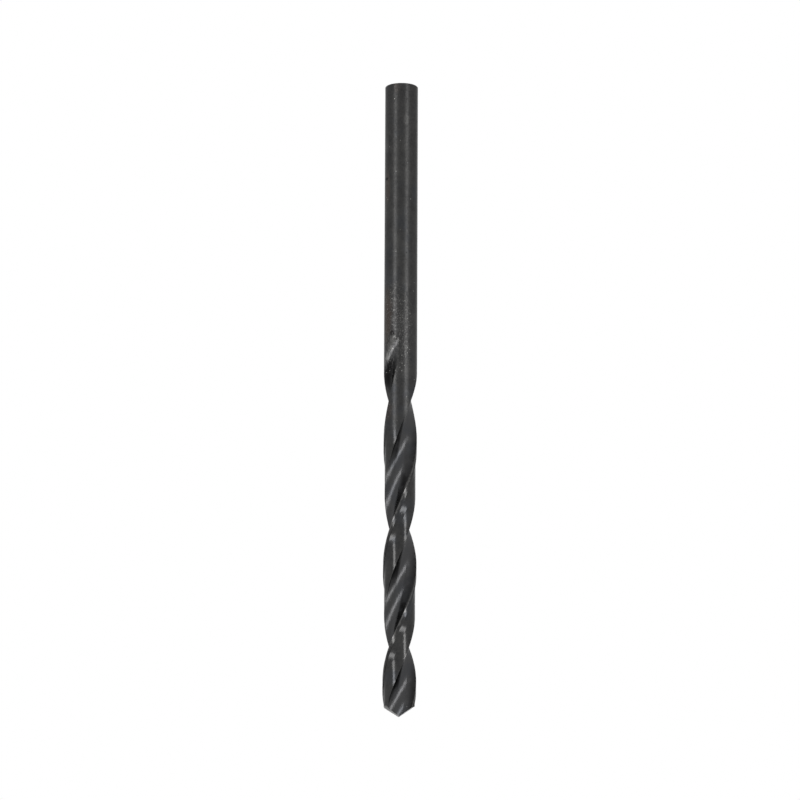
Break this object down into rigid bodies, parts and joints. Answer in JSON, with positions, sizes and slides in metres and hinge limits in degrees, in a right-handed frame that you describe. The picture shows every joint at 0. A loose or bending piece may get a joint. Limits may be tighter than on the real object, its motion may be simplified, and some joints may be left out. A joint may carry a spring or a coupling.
{
  "type": "twist drill bit",
  "caption": "Slim black twist drill with a plain straight shank, helical flutes that fade out into it and a relief-ground conical point, made to be held in a drill chuck.",
  "frame": {"origin": "centre of the shank's end face, on the drill's axis", "axes": "+Z runs along the drill's axis and out of the shank's end, so the drill hangs below the origin with its point lowest; X is parallel to the cutting lips; Y is across them"},
  "size_m": [0.0038, 0.0038, 0.075],
  "materials": {
    "black_oxide_steel": "ground and fluted, then blackened by steam oxide, with bare streaks worn on the edges"
  },
  "bodies": {
    "root": {"twist_drill": "black_oxide_steel"}
  },
  "joints": []
}
